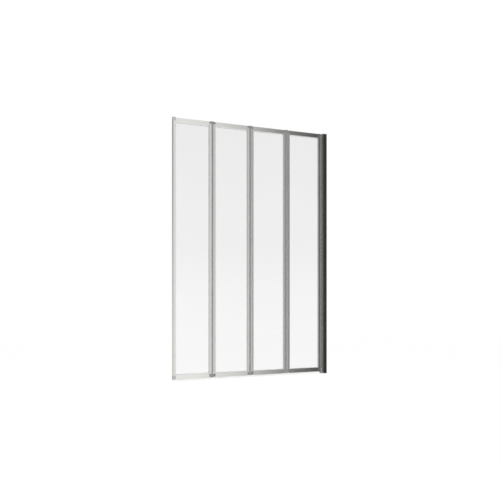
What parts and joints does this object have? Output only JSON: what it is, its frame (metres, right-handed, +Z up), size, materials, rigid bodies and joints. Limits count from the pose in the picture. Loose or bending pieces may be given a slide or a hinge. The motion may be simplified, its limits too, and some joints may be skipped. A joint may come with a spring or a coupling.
{
  "type": "folding bath screen",
  "caption": "Folding bath screen of framed clear glass panels on double-pivot hinges, swinging from a wall channel, with plastic hinge caps and a clear bottom wiper.",
  "frame": {"origin": "on the wall plane, mid-width of the wall channel, at its lower end on the bath rim", "axes": "+X into the wall, so the open screen runs towards -X; +Z up along the wall channel; the folded pack lies on the -Y side, which is the pictured front"},
  "size_m": [0.9, 0.0275, 1.4],
  "materials": {
    "frame_aluminium": "bright polished",
    "channel_aluminium": "bright polished",
    "clear_glass": "clear toughened",
    "cap_plastic": "fine satin moulding",
    "pale_plastic": "satin moulding",
    "grey_seal": "soft satin",
    "clear_seal": "clear flexible",
    "pin_steel": "turned"
  },
  "bodies": {
    "wall_side": {"wall_channel": "channel_aluminium", "channel_cap": "cap_plastic", "adjusting_profile": "channel_aluminium", "adjusting_screws": "pin_steel", "screw_covers": "pale_plastic", "pivot_foot": "pale_plastic", "pivot_head": "cap_plastic", "pivot_pins": "pin_steel", "wall_seal": "grey_seal"},
    "panel_1": {"panel_1_wall_stile": "frame_aluminium", "panel_1_free_stile": "frame_aluminium", "panel_1_top_rail": "frame_aluminium", "panel_1_bottom_rail": "frame_aluminium", "panel_1_corner_keys": "pale_plastic", "panel_1_glass": "clear_glass", "panel_1_glazing_seal": "clear_seal", "panel_1_bottom_seal": "clear_seal", "panel_1_bushes": "pale_plastic"},
    "link_1": {"link_1_top_cap": "cap_plastic", "link_1_bottom_cap": "cap_plastic", "link_1_pins": "pin_steel", "link_1_seal_strip": "grey_seal"},
    "panel_2": {"panel_2_wall_stile": "frame_aluminium", "panel_2_free_stile": "frame_aluminium", "panel_2_top_rail": "frame_aluminium", "panel_2_bottom_rail": "frame_aluminium", "panel_2_corner_keys": "pale_plastic", "panel_2_glass": "clear_glass", "panel_2_glazing_seal": "clear_seal", "panel_2_bottom_seal": "clear_seal", "panel_2_bushes": "pale_plastic"},
    "link_2": {"link_2_top_cap": "cap_plastic", "link_2_bottom_cap": "cap_plastic", "link_2_pins": "pin_steel", "link_2_seal_strip": "grey_seal"},
    "panel_3": {"panel_3_wall_stile": "frame_aluminium", "panel_3_free_stile": "frame_aluminium", "panel_3_top_rail": "frame_aluminium", "panel_3_bottom_rail": "frame_aluminium", "panel_3_corner_keys": "pale_plastic", "panel_3_glass": "clear_glass", "panel_3_glazing_seal": "clear_seal", "panel_3_bottom_seal": "clear_seal", "panel_3_bushes": "pale_plastic"},
    "link_3": {"link_3_top_cap": "cap_plastic", "link_3_bottom_cap": "cap_plastic", "link_3_pins": "pin_steel", "link_3_seal_strip": "grey_seal"},
    "panel_4": {"panel_4_wall_stile": "frame_aluminium", "panel_4_free_stile": "frame_aluminium", "panel_4_top_rail": "frame_aluminium", "panel_4_bottom_rail": "frame_aluminium", "panel_4_corner_keys": "pale_plastic", "panel_4_glass": "clear_glass", "panel_4_glazing_seal": "clear_seal", "panel_4_bottom_seal": "clear_seal", "panel_4_bushes": "pale_plastic", "free_cap_top": "pale_plastic", "free_cap_bottom": "pale_plastic"}
  },
  "joints": [
    {"name": "wall_hinge", "type": "hinge", "parent": "wall_side", "child": "panel_1", "pos_m": [-0.034, 0, 0], "axis": [0, 0, 1], "range_deg": [-90, 25]},
    {"name": "inner_fold", "type": "hinge", "parent": "panel_1", "child": "link_1", "pos_m": [-0.2403, 0, 0], "axis": [0, 0, 1], "range_deg": [0, 90]},
    {"name": "link_1_outer_pivot", "type": "hinge", "parent": "link_1", "child": "panel_2", "pos_m": [-0.2593, 0, 0], "axis": [0, 0, 1], "range_deg": [0, 90]},
    {"name": "link_2_inner_pivot", "type": "hinge", "parent": "panel_2", "child": "link_2", "pos_m": [-0.4567, 0, 0], "axis": [0, 0, 1], "range_deg": [-90, 0]},
    {"name": "link_2_outer_pivot", "type": "hinge", "parent": "link_2", "child": "panel_3", "pos_m": [-0.4757, 0, 0], "axis": [0, 0, 1], "range_deg": [-90, 0]},
    {"name": "outer_fold", "type": "hinge", "parent": "panel_3", "child": "link_3", "pos_m": [-0.6731, 0, 0], "axis": [0, 0, 1], "range_deg": [0, 90]},
    {"name": "link_3_outer_pivot", "type": "hinge", "parent": "link_3", "child": "panel_4", "pos_m": [-0.6921, 0, 0], "axis": [0, 0, 1], "range_deg": [0, 90]}
  ],
  "couplings": [
    {"joint": "link_1_outer_pivot", "follows": "inner_fold", "ratio": 1},
    {"joint": "link_2_inner_pivot", "follows": "inner_fold", "ratio": -1},
    {"joint": "link_2_outer_pivot", "follows": "inner_fold", "ratio": -1},
    {"joint": "link_3_outer_pivot", "follows": "outer_fold", "ratio": 1}
  ]
}
